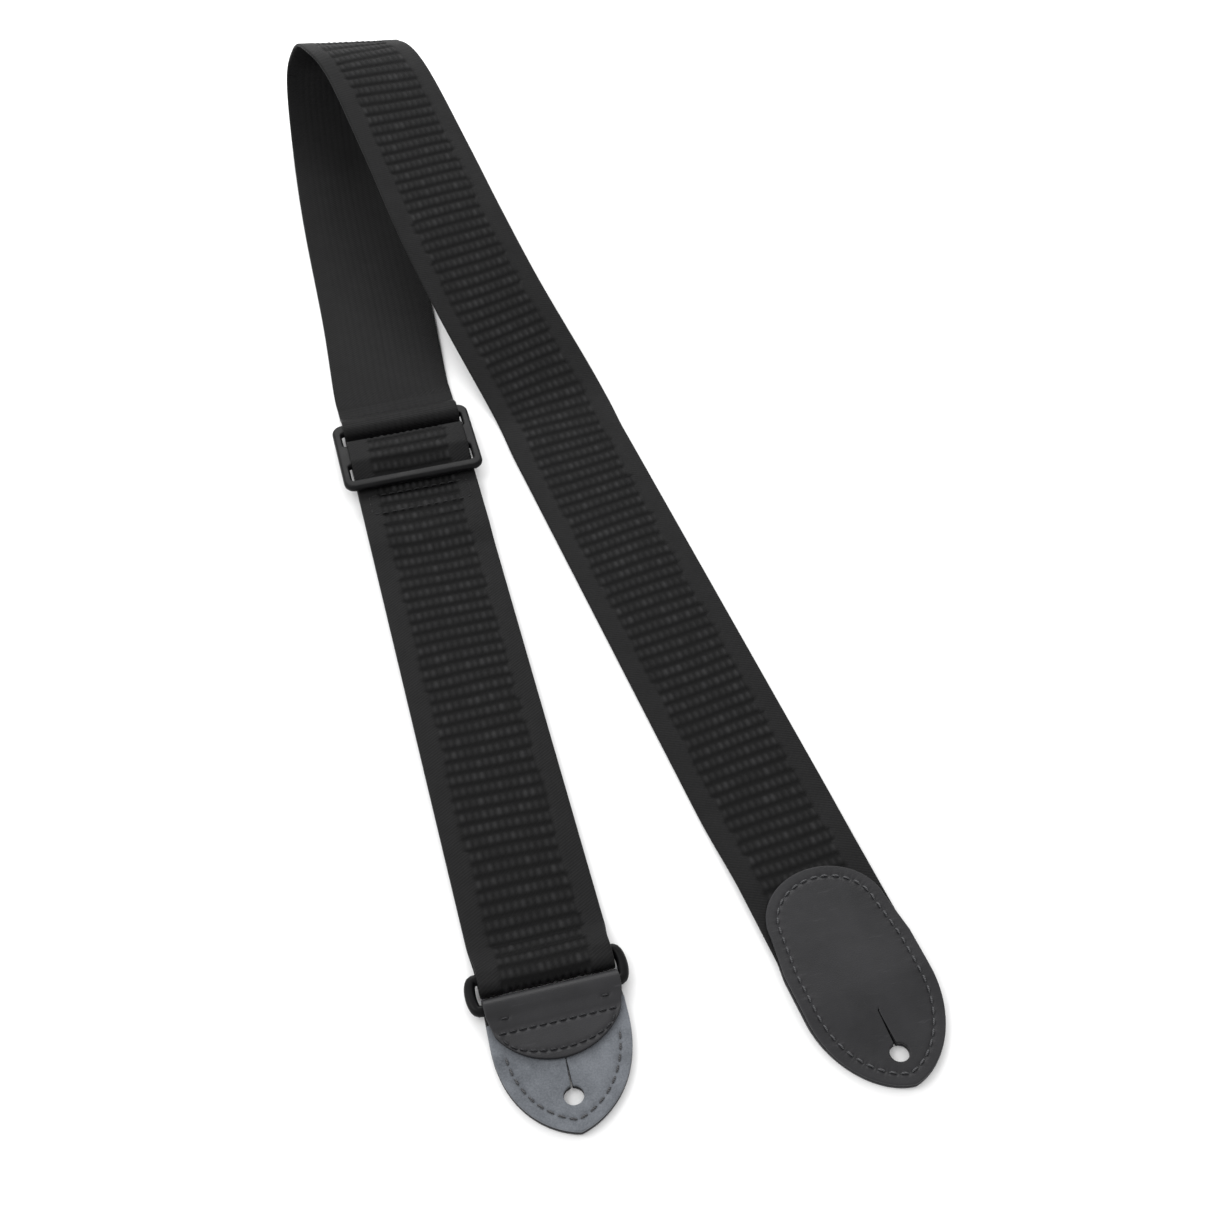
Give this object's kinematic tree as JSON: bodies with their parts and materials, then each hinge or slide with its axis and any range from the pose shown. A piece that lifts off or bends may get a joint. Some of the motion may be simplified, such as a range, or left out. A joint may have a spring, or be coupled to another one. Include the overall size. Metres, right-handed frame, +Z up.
{
  "type": "guitar strap",
  "caption": "Ribbed webbing guitar strap with a leather end patch, an adjusting slider, an oval ring and a leather tab, laid out with one standing loop.",
  "frame": {"origin": "middle of the strap's footprint on the surface it lies on", "axes": "+Z up from that surface; +Y along the straight left run, from the tab towards the standing loop; +X from the left run towards the right run"},
  "size_m": [0.1618, 0.5642, 0.0543],
  "materials": {
    "webbing": "ribbed woven synthetic webbing",
    "plastic": "satin moulded plastic",
    "black_leather": "smooth black, fine grain",
    "grey_suede": "rough grey flesh side",
    "thread": "waxed black sewing thread"
  },
  "bodies": {
    "strap": {"webbing_left_run": "webbing", "webbing_top_loop": "webbing"},
    "shoulder": {"webbing_shoulder_run": "webbing", "end_patch_front": "black_leather", "end_patch_back": "black_leather", "end_patch_seam": "thread"},
    "slider": {"slider_frame": "plastic", "webbing_slider_pass": "webbing", "webbing_bar_wrap": "webbing", "tail_seam": "thread", "webbing_under_layer": "webbing", "webbing_return_layer": "webbing"},
    "ring_turn": {"webbing_ring_turn": "webbing"},
    "ring": {"ring": "plastic"},
    "tab": {"tab_leather": "black_leather", "tab_lining": "grey_suede", "tab_border_seam": "thread", "flap_row_seam": "thread", "flap_edge_seam": "thread"}
  },
  "joints": [
    {"name": "loop_open", "type": "hinge", "parent": "strap", "child": "shoulder", "pos_m": [-0.03601, 0.29037, 0.00077], "axis": [-0.9976, -0.0698, 0], "range_deg": [0, 100], "deforming": ["webbing_top_loop"]},
    {"name": "length_adjust", "type": "slide", "parent": "strap", "child": "slider", "axis": [0, 1, 0], "range_m": [-0.16, 0.05], "deforming": ["webbing_left_run"]},
    {"name": "ring_follow", "type": "slide", "parent": "slider", "child": "ring_turn", "axis": [0, 1, 0], "range_m": [-0.025, 0.08], "deforming": ["webbing_under_layer", "webbing_return_layer"]},
    {"name": "ring_swing", "type": "hinge", "parent": "ring_turn", "child": "ring", "pos_m": [-0.05101, -0.20763, 0.00382], "axis": [-1, 0, 0], "range_deg": [0, 80]},
    {"name": "tab_swing", "type": "hinge", "parent": "ring", "child": "tab", "pos_m": [-0.05101, -0.21963, 0.00382], "axis": [-1, 0, 0], "range_deg": [0, 90]}
  ],
  "couplings": [
    {"joint": "ring_follow", "follows": "length_adjust", "ratio": -0.5}
  ]
}
